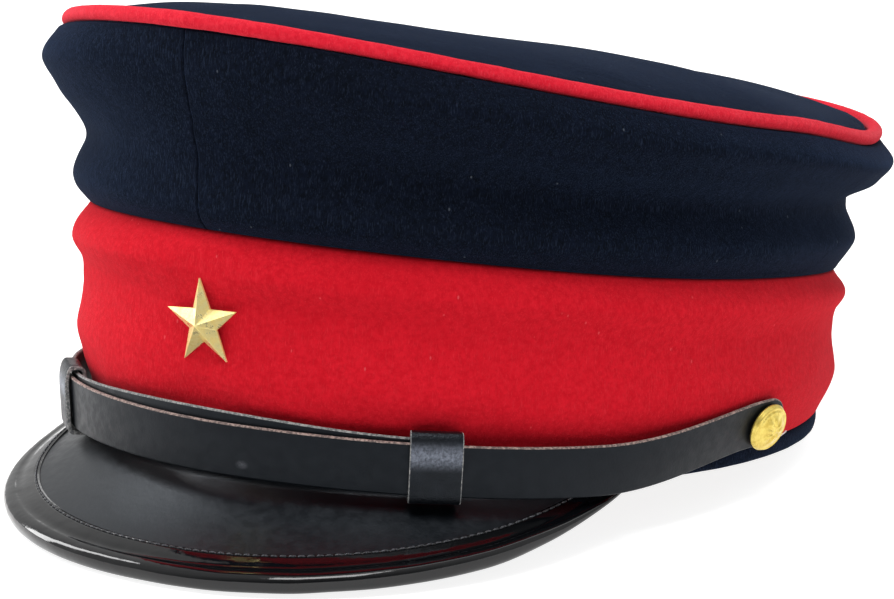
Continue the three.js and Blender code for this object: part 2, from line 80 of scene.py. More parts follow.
# Top, bottom, distance from the peak's edge, depth of dents and height of the root's lip.
PEAK_LAYERS = {"upper": (1.55, 0.75, 1.6, 0.16, 1.0), "board": (0.5, -0.5, 1.0), "lining": (-0.75, -1.4, 1.6)}
BINDING_FLAP = 9.4
STITCH_LINE = 8.4
PEAK_STITCH = {"length": 1.7, "pitch": 2.2, "radius": 0.24}
SWEATBAND_STITCH = {"length": 2.2, "pitch": 3.2, "radius": 0.24}
STRAP_HALF_WIDTH = 6.5
STRAP_UNDER = (4.3, 5.4)
STRAP_OUTER = (5.7, 6.9)
STRAP_EDGE = 0.45
STRAP_AT_BUTTON = (3.8, 5.0)
STRAP_END = -41.0
KEEPER = {"angle": 37.0, "width": 12.0, "leather": 1.1, "back": 2.8, "front": 8.6, "bottom": -2.8,
          "top": 14.9}
KEEPER_CORNERS = ((1.5, 2.5), (2.3, 6.5), (2.0, 2.0), (1.5, 1.5))
KEEPER_CURVE = 97.0
BUTTON = {"radius": 6.25, "height": 10.6, "dome": 3.2, "shank": 1.2, "yaw": 6.0, "droop": 16.0}
PIN = {"half_length": 2.6, "radius": 0.19, "apart": 0.17, "splay": 0.4, "from_shank_end": 0.65}
STAR = {"radius": 11.2, "waist": 0.4, "height": 35.4, "off_centre": 1.6, "edge": 0.5, "rise": 3.1,
        "lean": -4.0, "back": 1.2}
SIDES = {"left": 1, "right": -1}


# ---- shape helpers

def mix(a, b, share):
    return a + (b - a) * share


def smooth(value, low, high):
    t = np.clip((value - low) / (high - low), 0, 1)
    return t * t * (3 - 2 * t)


def seam_height(y):
    """The seam climbs towards the front, and levels out towards the back."""
    return 46.3 - 0.104 * y + 2.0 * smooth(y, -60, 50)


def edge_height(y):
    return 86.8 - 0.12 * y + 5.6 * (y / 100) ** 2 - 3.6 * smooth(y, 0, 61)


def hump(value, centre, width, height):
    return height * np.exp(-(((value - centre) / width) ** 2))


def sin_of(degrees):
    return np.sin(np.radians(degrees))


def cos_of(degrees):
    return np.cos(np.radians(degrees))


def tuck(distance, radius):
    """How far cloth turns in at a sewn edge, at a distance from that edge."""
    near = radius - np.clip(distance, 0, radius)
    return np.sqrt(radius**2 - near**2) - radius


def unit(vectors):
    return vectors / np.linalg.norm(vectors, axis=-1, keepdims=True)


def soft_noise(points, size, seed):
    """Smooth noise from -1 to 1. size is a lump's length in millimetres, or one for each axis."""
    place = np.asarray(points) / np.asarray(size, float) + seed * 17.3
    cell = np.floor(place).astype(np.int64)
    inside = place - cell
    inside = inside * inside * (3 - 2 * inside)
    total = 0.0
    for corner in np.ndindex(2, 2, 2):
        x, y, z = np.moveaxis(cell + corner, -1, 0)
        mixed = (x * 374761393 + y * 668265263 + z * 1440670441) & 0xFFFFFFFF
        mixed = ((mixed ^ (mixed >> 13)) * 1274126177) & 0xFFFFFFFF
        value = ((mixed ^ (mixed >> 16)) & 0xFFFF) / 32767.5 - 1
        weight = np.prod(np.where(np.array(corner) == 1, inside, 1 - inside), axis=-1)
        total = total + value * weight
    return total


def on_ring(ring, angle, height):
    """On a ring, at heights given as numbers or as a function of y."""
    y = ring[2] - ring[1] * cos_of(angle)
    z = height(y) if callable(height) else height + 0 * y
    return np.stack([ring[0] * sin_of(angle), y, z], -1)


def outward(ring, angle, distance=1.0):
    """Level steps away from a ring."""
    square = unit(np.stack([sin_of(angle) / ring[0], -cos_of(angle) / ring[1], 0.0 * angle], -1))
    return square * np.asarray(distance)[..., None]


def ring_point(ring, angle, height, stand_off):
    return on_ring(ring, angle, height) + outward(ring, angle, stand_off)


def seam_above(angle):
    return on_ring(SEAM, angle, seam_height)[..., 2]


def band_point(angle, share, stand_off):
    """On the straight wall between the foot and the seam, moved outwards."""
    foot, seam = on_ring(FOOT, angle, 0.0), on_ring(SEAM, angle, seam_height)
    return mix(foot, seam, np.asarray(share)[..., None]) + outward(FOOT, angle, stand_off)


def band_point_at(angle, height, stand_off):
    return band_point(angle, height / seam_above(angle), stand_off)


def crown_point(angle, share, stand_off):
    seam, edge = on_ring(SEAM, angle, seam_height), on_ring(EDGE, angle, edge_height)
    return mix(seam, edge, np.asarray(share)[..., None]) + outward(SEAM, angle, stand_off)


def crown_height(angle):
    return on_ring(EDGE, angle, edge_height)[..., 2] - seam_above(angle)


def grid(along, across):
    return np.meshgrid(np.asarray(along, float), np.asarray(across, float), indexing="ij")


def full_turn(count):
    return np.arange(count) * 360.0 / count


# ---- meshes

def run_along(points):
    """The length from the first point to each point."""
    return np.r_[0, np.cumsum(np.linalg.norm(np.diff(points, axis=0), axis=1))]


def loft(sections, closed=False, slots=None):
    """Skins a row of closed sections, shape (along, around, 3). slots gives each strip of faces its material.
    Returns points, faces, material numbers and UVs, which are lengths in millimetres."""
    along, around = sections.shape[:2]
    rows = along if closed else along - 1
    i, j = np.indices((rows, around))
    nexti, nextj = (i + 1) % along, (j + 1) % around
    quads = np.stack([i * around + j, i * around + nextj, nexti * around + nextj, nexti * around + j], -1)
    quads = quads.reshape(-1, 4)
    points = sections.reshape(-1, 3)
    middle = sections.mean(1)
    widest = sections[np.argmax(np.ptp(sections, axis=1).sum(-1))]
    far, girth = (run_along(np.vstack([path, path[:1]])) for path in (middle, widest))
    uvs = np.stack([np.stack([far[a], girth[b]], -1) for a, b in
                    ((i, j), (i, j + 1), (i + 1, j + 1), (i + 1, j))], -2)
    a, b, c, d = np.moveaxis(points[quads], 1, 0)
    volume = np.sum(a * (np.cross(b, c) + np.cross(c, d)))
    faces = quads.tolist()
    slots = slots or [0] * around
    numbers = slots * rows
    corners_uv = uvs.reshape(-1, 4, 2).tolist()
    if not closed:
        first, last = list(range(around))[::-1], list(range((along - 1) * around, along * around))
        for end in (first, last):
            ring = points[end]
            volume += np.sum(ring[0] * np.cross(ring[1:-1], ring[2:]))
            faces.append(end)
            numbers.append(max(slots))
            corners_uv.append([[0.0, length] for length in girth[:around]])
    if volume < 0:
        faces = [face[::-1] for face in faces]
        corners_uv = [uv[::-1] for uv in corners_uv]
    return points, faces, numbers, corners_uv


def sheet(outer, inner, closed=False):
    """A loft with an outer and an inner face."""
    return loft(np.concatenate([outer, inner[:, ::-1]], axis=1), closed)


def joined(shapes):
    """Several shapes as one."""
    points, faces, numbers, uvs = [], [], [], []
    start = 0
    for shape in shapes:
        points.append(shape[0])
        faces += [[start + corner for corner in face] for face in shape[1]]
        numbers += shape[2]
        uvs += shape[3]
        start += len(shape[0])
    return np.vstack(points), faces, numbers, uvs


def tube(path, radii, sides=8, flat=1.0, up=(0, 0, 1)):
    """A bar along a path. flat below 1 thins its section in the up direction."""
    path = np.asarray(path, float)
    radii = np.broadcast_to(np.asarray(radii, float), len(path))
    tangent = unit(np.gradient(path, axis=0))
    side = unit(np.cross(tangent, np.broadcast_to(up, path.shape)))
    rise = np.cross(side, tangent)
    turn = full_turn(sides)[:, None]
    ring = cos_of(turn) * side[:, None] + flat * sin_of(turn) * rise[:, None]
    return loft(path[:, None] + radii[:, None, None] * ring)


def stitches(line, normals, length, pitch, radius):
    """A row of stitches along a line of close points, with the surface's normals there."""
    run = run_along(line)

    def at(values, where):
        return np.stack([np.interp(where, run, values[:, axis]) for axis in range(3)], -1)

    offsets = np.array([-0.5, -0.4, -0.2, 0.2, 0.4, 0.5]) * length
    rise = np.array([-1.6, 0.0, 0.6, 0.6, 0.0, -1.6]) * radius
    thickness = np.array([0.6, 0.9, 1.0, 1.0, 0.9, 0.6]) * radius
    shapes = []
    for middle in np.arange(pitch / 2, run[-1] - length / 2, pitch):
        where = middle + offsets
        path = at(line, where) + at(normals, where) * rise[:, None]
        shapes.append(tube(path, thickness, sides=6, up=at(normals, np.array([middle]))[0]))
    return joined(shapes)


def in_scene(name, data):
    obj = bpy.data.objects.new(name, data)
    bpy.context.scene.collection.objects.link(obj)
    return obj


def piece(name, shape, materials, slot, *replaces, body="cap", sharp=38.0, bevel=None):
    """Makes an object of a shape, with its materials, its CAD body and the CAD nodes it stands for."""
    points, faces, numbers, uvs = shape
    mesh = bpy.data.meshes.new(name)
    mesh.from_pydata((points * MM).tolist(), [], faces)
    layer = mesh.uv_layers.new(name="Lengths")
    flat = np.array([value for face in uvs for corner in face for value in corner], np.float32) * MM
    layer.data.foreach_set("uv", flat)
    for material in materials:
        mesh.materials.append(material)
    mesh.polygons.foreach_set("material_index", np.array(numbers, np.int32))
    work = bmesh.new()
    work.from_mesh(mesh)
    bmesh.ops.remove_doubles(work, verts=work.verts, dist=2e-6)
    work.to_mesh(mesh)
    work.free()
    mesh.shade_smooth()
    mesh.set_sharp_from_angle(angle=math.radians(sharp))
    obj = in_scene(name, mesh)
    if bevel:
        edges = obj.modifiers.new("edges", "BEVEL")
        edges.width = bevel * MM
        edges.segments = 2
        edges.limit_method = "ANGLE"
        edges.angle_limit = math.radians(20)
    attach(obj, body)
    if replaces:
        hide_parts(*replaces)
    return obj


# ---- materials

class Nodes:
    """Short calls for building the node tree of a material or a world."""

    def __init__(self, owner, shader="Principled BSDF"):
        owner.use_nodes = True
        self.owner = owner
        self.tree = owner.node_tree
        self.shader = self.tree.nodes[shader]
        coordinates = self.add("TexCoord").outputs
        self.place, self.uv, self.direction = (coordinates[key] for key in ("Object", "UV", "Generated"))

    def add(self, kind, values=None, **settings):
        node = self.tree.nodes.new("ShaderNode" + kind)
        for key, value in settings.items():
            setattr(node, key, value)
        for key, value in (values or {}).items():
            self.put(node.inputs[key], value)
        return node

    def put(self, socket, value):
        if isinstance(value, bpy.types.NodeSocket):
            self.tree.links.new(value, socket)
        else:
            socket.default_value = value

    def stretch(self, scale, turn=(0, 0, 0), source=None):
        turned = {"Vector": source or self.place, "Rotation": turn, "Scale": scale}
        return self.add("Mapping", turned).outputs["Vector"]

    def noise(self, size_mm, detail=2.0, roughness=0.5, source=None, distortion=0.0):
        values = {"Vector": source or self.place, "Scale": 1 / (size_mm * MM), "Detail": detail,
                  "Roughness": roughness, "Distortion": distortion}
        return self.add("TexNoise", values).outputs["Fac"]

    def cells(self, size_mm, feature="F1", source=None):
        values = {"Vector": source or self.place, "Scale": 1 / (size_mm * MM)}
        return self.add("TexVoronoi", values, feature=feature).outputs["Distance"]

    def ramp(self, value, low, high, to_low=0.0, to_high=1.0):
        values = {"Value": value, "From Min": low, "From Max": high, "To Min": to_low, "To Max": to_high}
        return self.add("MapRange", values, interpolation_type="SMOOTHSTEP").outputs["Result"]

    def math(self, operation, a, b):
        return self.add("Math", {0: a, 1: b}, operation=operation).outputs[0]

    def blend(self, share, a, b):
        return self.add("Mix", {0: share, 6: a, 7: b}, data_type="RGBA").outputs[2]

    def bump(self, height, depth_mm, strength=1.0, base=None):
        values = {"Height": height, "Distance": depth_mm * MM, "Strength": strength}
        if base is not None:
            values["Normal"] = base
        return self.add("Bump", values).outputs["Normal"]

    def near(self, point, radii):
        """1 at a point, falling to 0 at a distance for each axis, all in millimetres."""
        values = {0: self.place, 1: [value * MM for value in point]}
        offset = self.add("VectorMath", values, operation="SUBTRACT").outputs["Vector"]
        values = {0: offset, 1: [1 / (radius * MM) for radius in radii]}
        scaled = self.add("VectorMath", values, operation="MULTIPLY").outputs["Vector"]
        distance = self.add("VectorMath", {0: scaled}, operation="LENGTH").outputs["Value"]
        return self.ramp(distance, 1.0, 0.0)

    def finish(self, **inputs):
        for key, value in inputs.items():
            self.put(self.shader.inputs[key.replace("_", " ")], value)
        return self.owner


def new_material(name):
    return Nodes(bpy.data.materials.new(name))


def rgb(red, green, blue):
    """A screen colour from 0 to 255 as the linear colour a node takes."""
    linear = [((c / 255 + 0.055) / 1.055) ** 2.4 if c > 10 else c / 255 / 12.92 for c in (red, green, blue)]
    return (*linear, 1.0)


def wool(name, deep, middle, fibre, lint, sheen, sheen_tint):
    """Felted wool: mottled colour, fine fibres lying every way, stray lint and a soft nap."""
    n = new_material(name)
    broad = n.noise(15.0, 3.0)
    mottle = n.noise(1.5, 4.0, 0.65)
    base = n.blend(n.ramp(mottle, 0.3, 0.7), deep, middle)
    base = n.blend(n.ramp(broad, 0.35, 0.75, 0.0, 0.35), base, deep)
    hairs = 0.0
    for turn in ((0.3, 0.1, 0.0), (0.2, 1.3, 0.4), (1.2, 0.5, 0.9)):
        strands = n.noise(0.3, 2.0, 0.6, n.stretch((1.0, 1.0, 0.13), turn), 0.4)
        hairs = n.math("MAXIMUM", hairs, n.ramp(strands, 0.58, 0.74))
    base = n.blend(n.math("MULTIPLY", hairs, 0.3), base, fibre)
    specks = n.ramp(n.cells(5.5, source=n.stretch((1.0, 1.0, 0.5), (0.5, 0.4, 0.0))), 0.055, 0.03)
    base = n.blend(n.math("MULTIPLY", specks, 0.25), base, lint)
    nap = n.bump(n.noise(0.5, 3.0, 0.7), 0.22, 0.7)
    nap = n.bump(hairs, 0.12, 0.6, nap)
    nap = n.bump(n.noise(3.2, 2.0), 0.35, 0.6, nap)
    return n.finish(Base_Color=base, Roughness=0.95, Normal=nap, Sheen_Weight=sheen, Sheen_Roughness=0.4,
                    Sheen_Tint=sheen_tint, Specular_IOR_Level=0.03)


def leather(name, deep, light, roughness, grain_mm, grain_depth, coat=0.0, wear=0.25, shine=0.5,
            scuff_and_highlight=None):
    """Smooth dyed leather: fine grain, lighter patches and uneven gloss. The last argument is a paler
    speckled place, which stands for real wear in the strap's scuff and for a painted highlight on the
    keepers: its point, reach along each axis, colour and strength."""
    n = new_material(name)
    patches = n.noise(9.0, 4.0, 0.6)
    base = n.blend(n.ramp(patches, 0.4, 0.8, 0.0, wear), deep, light)
    marks = n.ramp(n.noise(1.1, 3.0, 0.7, n.stretch((1.0, 1.0, 0.25), (0.2, 0.9, 0.3))), 0.66, 0.8)
    base = n.blend(n.math("MULTIPLY", marks, wear), base, light)
    if scuff_and_highlight:
        point, reach, tone, strength = scuff_and_highlight
        speckle = n.ramp(n.noise(0.7, 4.0, 0.75), 0.2, 0.8, 0.1, strength)
        base = n.blend(n.math("MULTIPLY", n.near(point, reach), speckle), base, tone)
    grain = n.bump(n.cells(grain_mm, "SMOOTH_F1"), grain_depth, 0.5)
    grain = n.bump(n.noise(0.35, 2.0), grain_depth * 0.4, 0.5, grain)
    grain = n.bump(n.noise(6.0, 2.0), 0.12, 0.5, grain)
    gloss = n.ramp(n.noise(2.5, 3.0), 0.3, 0.7, roughness * 0.9, roughness * 1.15)
    return n.finish(Base_Color=base, Roughness=gloss, Normal=grain, Coat_Weight=coat, Coat_Roughness=0.12,
                    Specular_IOR_Level=shine, Specular_Tint=(0.78, 0.88, 1, 1))


def fibrous(name, deep, light, grain, contrast, roughness, bump, along=None):
    """Fibres or plies in two tones. grain is the noise's size, detail and roughness, and along says how it is
    stretched and turned."""
    n = new_material(name)
    fibres = n.noise(*grain, n.stretch(*along) if along else None)
    base = n.blend(n.ramp(fibres, *contrast), deep, light)
    return n.finish(Base_Color=base, Roughness=roughness, Normal=n.bump(fibres, *bump))


def cut_edge(name, pale, dark):
    """The raw edge of cut leather: pale fibres with darker streaks."""
    return fibrous(name, dark, pale, (0.7, 4.0, 0.7), (0.42, 0.62), 0.8, (0.15, 0.8))


def thread(name, deep, light):
    """Sewing thread, twisted from two plies."""
    return fibrous(name, deep, light, (0.3, 1.0, 0.5), (0.4, 0.6), 0.45, (0.05, 0.8))


def patent(name):
    """Lacquered leather: near black and glassy, with slow waves."""
    n = new_material(name)
    dust = n.ramp(n.noise(0.8, 3.0, 0.7), 0.6, 0.85)
    base = n.blend(n.math("MULTIPLY", dust, 0.08), rgb(7, 8, 10), rgb(60, 62, 68))
    waves = n.bump(n.noise(7.0, 2.0), 0.35, 0.6)
    waves = n.bump(n.noise(1.6, 2.0), 0.05, 0.5, waves)
    gloss = n.ramp(n.noise(4.0, 3.0), 0.35, 0.75, 0.06, 0.16)
    return n.finish(Base_Color=base, Roughness=gloss, Normal=waves, Coat_Weight=0.3, Coat_Roughness=0.04,
                    Specular_IOR_Level=0.3)


def gilt(name, bright, deep, roughness):
    """Gilt or bare brass: lapping marks and small dulled patches."""
    n = new_material(name)
    patches = n.noise(1.8, 4.0, 0.65)
    base = n.blend(n.ramp(patches, 0.35, 0.75), bright, deep)
    lapping = n.noise(0.25, 2.0, 0.6, n.stretch((1.0, 1.0, 0.15), (0.0, 0.8, 0.0)))
    gloss = n.ramp(patches, 0.3, 0.8, roughness * 0.8, roughness * 1.5)
    skin = n.bump(lapping, 0.01, 0.2, n.bump(n.noise(1.2, 2.0), 0.03, 0.4))
    return n.finish(Base_Color=base, Roughness=gloss, Metallic=0.7, Normal=skin)


def woven(name, deep, light, pitch_mm, roughness, sheen=0.2, twill=True):
    """Woven cloth: warp and weft ridges or a twill, along the mesh's lengths."""
    n = new_material(name)
    scale = 1 / (pitch_mm * MM)
    turn = math.radians(38 if twill else 0)
    rows = n.stretch((scale, scale, scale), (0, 0, turn), n.uv)
    waves = {"Vector": rows, "Scale": 0.314, "Distortion": 0.6, "Detail": 1.0}
    warp = n.add("TexWave", waves, bands_direction="X").outputs["Fac"]
    weft = n.add("TexWave", waves, bands_direction="Y").outputs["Fac"]
    height = warp if twill else n.math("MULTIPLY", warp, weft)
    tone = n.blend(n.ramp(height, 0.2, 0.8), deep, light)
    tone = n.blend(n.ramp(n.noise(6.0, 3.0), 0.4, 0.8, 0.0, 0.4), tone, deep)
    skin = n.bump(n.noise(4.0, 2.0), 0.2, 0.4, n.bump(height, 0.06, 0.8))
    return n.finish(Base_Color=tone, Roughness=roughness, Normal=skin, Sheen_Weight=sheen,
                    Sheen_Roughness=0.4)


STRAP_SCUFF = band_point_at(9.5, 3.0, STRAP_OUTER[1])
# Painted highlight: a pale speckled band about 9 mm up, across both keepers, where their rounded tops catch
# the light.
KEEPER_HIGHLIGHT = (0.0, -85.0, 9.2)

NAVY = wool("navy_wool", rgb(7, 10, 17), rgb(13, 18, 30), rgb(50, 60, 80), rgb(120, 128, 140),
            0.2, rgb(80, 112, 165))
RED = wool("red_wool", rgb(179, 17, 30), rgb(198, 25, 39), rgb(222, 52, 64), rgb(235, 120, 125),
           0.12, rgb(255, 150, 160))
# Painted highlight: the piping cord uses a lighter, pinker copy of the band's red wool, standing in for light
# on its round top.
HIGHLIT_PIPING_RED = wool("piping_wool_painted_highlight", rgb(194, 24, 42), rgb(212, 40, 56), rgb(230, 78, 92),
                  rgb(240, 140, 146), 0.2, rgb(255, 170, 180))
UPPER = leather("black_leather", rgb(3, 5, 8), rgb(12, 15, 20), 0.36, 0.7, 0.03, coat=0.05, wear=0.1,
                shine=0.45)
STRAP = leather("strap_leather", rgb(7, 9, 13), rgb(20, 23, 29), 0.44, 0.6, 0.04, wear=0.15, shine=0.2,
                scuff_and_highlight=(STRAP_SCUFF, (2.2, 2.2, 1.4), rgb(104, 106, 112), 0.6))
# The keepers' leather carries a painted highlight: a pale band across their upper part.
KEEPER_FACE = leather("keeper_leather", rgb(4, 5, 8), rgb(24, 28, 36), 0.42, 0.4, 0.2, shine=0.25,
                      scuff_and_highlight=(KEEPER_HIGHLIGHT, (400, 400, 4.2), rgb(138, 144, 158), 0.9))
UNDERSIDE = leather("peak_underside", rgb(16, 17, 18), rgb(34, 35, 36), 0.6, 1.1, 0.14, wear=0.3)
TAN = leather("tan_leather", rgb(112, 70, 40), rgb(152, 104, 66), 0.5, 0.8, 0.07, wear=0.5)
PATENT = patent("patent_leather")
RAW_EDGE = cut_edge("raw_leather_edge", rgb(160, 138, 130), rgb(84, 72, 70))
GREY_EDGE = cut_edge("grey_leather_edge", rgb(150, 149, 147), rgb(86, 88, 90))
GILT = gilt("gilt_brass", rgb(252, 236, 168), rgb(240, 214, 126), 0.32)
BUTTON_GILT = gilt("button_gilt", rgb(228, 206, 108), rgb(198, 168, 68), 0.34)
BRASS = gilt("plain_brass", (0.72, 0.52, 0.25, 1), (0.5, 0.34, 0.15, 1), 0.4)
SATEEN = woven("black_sateen", rgb(18, 18, 20), rgb(40, 40, 44), 0.35, 0.45)
RIBBON = woven("black_ribbon", rgb(16, 16, 18), rgb(46, 46, 50), 0.4, 0.4, twill=False)
CANVAS = woven("canvas", rgb(150, 136, 108), rgb(196, 182, 150), 0.7, 0.9, twill=False)
WADDING_COTTON = woven("cotton_wadding", rgb(206, 202, 190), rgb(232, 228, 218), 2.2, 0.95, twill=False)
BOARD = fibrous("fibre_board", rgb(86, 70, 50), rgb(134, 114, 86), (0.8, 4.0, 0.7), (0.4, 0.7), 0.9,
                (0.2, 0.6), ((1.0, 1.0, 0.3), (0.4, 0.7, 0.0)))
BLACK_THREAD = thread("black_thread", rgb(16, 16, 18), rgb(78, 80, 86))
TAN_THREAD = thread("tan_thread", rgb(150, 112, 70), rgb(196, 160, 112))
WHITE_THREAD = thread("white_thread", rgb(196, 192, 188), rgb(235, 232, 228))


# ---- crown

SEAM_MM_PER_DEGREE = EDGE[0] * math.pi / 180
TUCK = 1.1
SEAM_TUCK = 0.7
SEAM_PULL = 2.1


def crown_roll(share, angle):
    """A dip in the side with a fuller roll under the piping, held flat in front by the stay and drooping into
    a fold at the rear. The seam at the foot pulls the cloth in."""
    rear = (1 - cos_of(angle)) / 2
    lower = hump(share, mix(0.13, 0.27, rear), 0.09, mix(1.8, 1.3, rear))
    dip = hump(share, mix(0.36, 0.52, rear), mix(0.11, 0.13, rear), mix(2.8, 3.2, rear))
    upper = hump(share, 0.79, mix(0.17, 0.13, rear), mix(8.2, 6.2, rear))
    slump = (1 - rear) * hump(share, 0.6, 0.08, 1.7)
    fold = smooth(np.abs(angle), 104, 122) * (hump(share, 0.64, 0.05, 1.2) - hump(share, 0.555, 0.045, 1.5))
    pulled = hump(share * crown_height(angle), 0, mix(2.2, 3.8, rear), SEAM_PULL)
    held = 0.7 * np.exp((cos_of(angle) - 1) / 0.09)
    return (1 - held) * (lower - dip + upper + slump) + fold - pulled


def crown_side(side):
    close = np.array([0.02, 0.1, 0.2, 0.32, 0.46, 0.62, 0.82, 1.1, 1.5, 2.0])
    angles = np.r_[close, np.linspace(2.6, 177.4, 236), 180 - close[::-1]]
    shares = np.r_[0, 0.006, 0.014, 0.026, np.linspace(0.04, 0.95, 76), 0.965, 0.98, 0.99, 1]
    angle, level = grid(angles * side, shares)
    height = crown_height(angle)
    top = 1 - PIPING_RADIUS / height
    share = mix(0.002, top, level)
    roll = crown_roll(share, angle)
    base = crown_point(angle, share, roll)
    from_seam = np.minimum(np.abs(angle), 180 - np.abs(angle)) * SEAM_MM_PER_DEGREE
    turned = tuck(share * height, TUCK) + tuck((top - share) * height, 0.6) + tuck(from_seam, SEAM_TUCK)
    creases = 0.35 * soft_noise(base, (26, 26, 9), 1) + 0.16 * soft_noise(base, (9, 9, 5), 2)
    puckers = hump(from_seam, 0, 5, 0.22) * soft_noise(base, (6, 6, 3.4), 3)
    calm = smooth(share * height, 0, 3) * smooth((top - share) * height, 0, 3)
    outer = crown_point(angle, share, roll + turned + creases * calm + puckers * calm)
    angle_in, level_in = grid(angles * side, np.linspace(0, 1, 16))
    share_in = mix(0.002, 1 - PIPING_RADIUS / crown_height(angle_in), level_in)
    inner = crown_point(angle_in, share_in, crown_roll(share_in, angle_in) - CLOTH)
    return sheet(outer, inner)


def dome_point(angle, share, depth):
    """Under the domed top of the crown, at a share of the way out from its middle."""
    rim = ring_point(EDGE, angle, 0.0, -PIPING_RADIUS - GAP - 0.05)
    x = rim[..., 0] * share
    y = mix(EDGE[2], rim[..., 1], share)
    z = edge_height(y) + 1 + CROWN_DOME["rise"] * (1 - share ** CROWN_DOME["power"]) - depth
    return np.stack([x, y, z], -1)


def crown_top():
    angles = full_turn(360)
    rings = np.r_[np.linspace(0, 0.94, 62), 0.955, 0.97, 0.98, 0.988, 0.994, 1]
    angle, share = grid(angles, rings)
    base = dome_point(angle, share, 0.0)
    turned = tuck((1 - share) * SEAM[0], TUCK)
    lumps = 0.5 * soft_noise(base, 38, 4) + 0.2 * soft_noise(base, 13, 5)
    puckers = hump(share, 0.97, 0.03, 0.3) * soft_noise(base, 7, 6)
    outer = dome_point(angle, share, -(turned + (lumps + puckers) * smooth(1 - share, 0, 0.03)))
    angle_in, share_in = grid(angles, np.linspace(0, 1, 16))
    inner = dome_point(angle_in, share_in, CLOTH)
    return sheet(outer, inner, closed=True)


def piping():
    angle, turn = grid(full_turn(600), full_turn(20))
    middle = on_ring(EDGE, angle, edge_height)
    pull = 0.07 * soft_noise(middle, 5, 7) + 0.05 * soft_noise(middle, 2.2, 8)
    radius = PIPING_RADIUS + pull - 0.06
    points = middle + outward(EDGE, angle, radius * cos_of(turn))
    points[..., 2] += radius * sin_of(turn)
    return loft(points, closed=True)


def crown_layer(angles, layer, count, closed, ripple=0.0):
    """An upright layer inside the crown, with a light ripple."""
    angle, share = grid(angles, np.linspace(*layer["levels"], count))
    faces = []
    for stand_off in (layer["outer"], layer["inner"]):
        base = crown_point(angle, share, stand_off)
        faces.append(crown_point(angle, share, stand_off + ripple * soft_noise(base, (7, 7, 40), 10)))
    return sheet(*faces, closed)


def dome_layer(layer, rings, lumps):
    """A disc under the crown's top, which can be thinner at its rim."""
    angle, share = grid(full_turn(180), np.linspace(0, layer["share"], rings))
    thin = layer.get("rim", layer["bottom"])
    top = dome_point(angle, share, layer["top"])
    top[..., 2] += lumps * soft_noise(top, 12, 11)
    bottom = dome_point(angle, share, mix(layer["bottom"], thin, (share / layer["share"]) ** 3))
    bottom[..., 2] += lumps * soft_noise(bottom, 12, 12)
    return sheet(top, bottom, closed=True)


def make_crown():
    piece("crown_top_cloth", crown_top(), [NAVY], "navy_wool", "crown_top")
    for name, side in SIDES.items():
        piece(f"crown_cloth_{name}", crown_side(side), [NAVY], "navy_wool", f"crown_side_{name}")
    piece("piping_cord", piping(), [HIGHLIT_PIPING_RED], "red_wool", "crown_piping")
    pad = dome_layer(WADDING, 40, 0.25)
    piece("wadding_pad", pad, [WADDING_COTTON], "cotton_wadding", "crown_wadding")
    turn = full_turn(360)
    cloth = crown_layer(turn, INTERLINING, 24, True, 0.1)
    piece("interlining_cloth", cloth, [CANVAS], "canvas", "crown_interlining")
    stay = np.linspace(-FRONT_STAY["half_angle"], FRONT_STAY["half_angle"], 53)
    stay = crown_layer(stay, FRONT_STAY, 16, False)
    piece("front_stay_board", stay, [BOARD], "fibre_board", "crown_front_stay", bevel=0.2)
    cloth = crown_layer(turn, LINING_SIDE, 30, True, 0.3)
    piece("lining_side_cloth", cloth, [SATEEN], "black_sateen", "lining_side")
    piece("lining_top_cloth", dome_layer(LINING_TOP, 44, 0.3), [SATEEN], "black_sateen", "lining_top")


# ---- band

def band_roll(share, angle):
    """Two soft rolls, pressed flat behind the badge and a little behind the keepers."""
    rear = (1 - cos_of(angle)) / 2
    pressed = 0.55 * np.exp((cos_of(angle) - 1) / 0.022)
    lower = hump(share, mix(0.38, 0.34, rear), 0.2, mix(3.7, 3.1, rear))
    upper = hump(share, mix(0.84, 0.86, rear), 0.09, mix(3.0, 1.9, rear))
    pulled = hump((1 - share) * seam_above(angle), 0, 3.0, SEAM_PULL)
    from_keeper = np.abs(np.abs((angle + 180) % 360 - 180) - KEEPER["angle"])
    dented = 0.8 * (1 - smooth(from_keeper, 9, 16)) * (1 - smooth(share * seam_above(angle), 17, 24))
    return (1 - pressed) * (lower + upper) - pulled - dented - 0.4


def band_cloth():
    levels = np.r_[0, 0.008, 0.018, np.linspace(0.03, 0.97, 50), 0.978, 0.986, 0.993, 1]
    angle, level = grid(full_turn(540), levels)
    height = seam_above(angle)
    low = (EDGING_HEIGHT + GAP / 2) / height
    share = mix(low, 1.0, level)
    roll = band_roll(share, angle)
    base = band_point(angle, share, roll)
    turned = tuck((1 - share) * height, TUCK) + tuck((share - low) * height, 0.8)
    creases = 0.3 * soft_noise(base, (22, 22, 4.5), 13) + 0.14 * soft_noise(base, (9, 9, 3), 14)
    creases += 0.3 * soft_noise(base, (60, 60, 11), 15)
    calm = smooth((share - low) * height, 0, 4) * smooth((1 - share) * height, 0, 3)
    outer = band_point(angle, share, roll + turned + creases * calm)
    angle_in, level_in = grid(full_turn(540), np.linspace(0, 1, 12))
    share_in = mix((EDGING_HEIGHT + GAP / 2) / seam_above(angle_in), 1.0, level_in)
    inner = band_point(angle_in, share_in, band_roll(share_in, angle_in) - CLOTH)
    return sheet(outer, inner, closed=True)


def edging():
    """The navy welt: a fold of cloth with a soft round outside."""
    turns = np.radians(np.linspace(-90, 90, 15))
    half = EDGING_HEIGHT / 2
    outer = [(1.1 * np.cos(t) ** 0.7 - 0.2, half + (half - 0.05) * np.sin(t)) for t in turns]
    section = np.array(outer + [(STIFFENER["outer"], EDGING_HEIGHT), (STIFFENER["outer"], 0.0)])
    angle, index = grid(full_turn(420), np.arange(len(section)))
    stand_off, height = np.moveaxis(section[index.astype(int)], -1, 0)
    base = ring_point(FOOT, angle, height, stand_off)
    ripple = 0.12 * soft_noise(base, 6, 16) * (stand_off > 0)
    return loft(base + outward(FOOT, angle, ripple), closed=True)


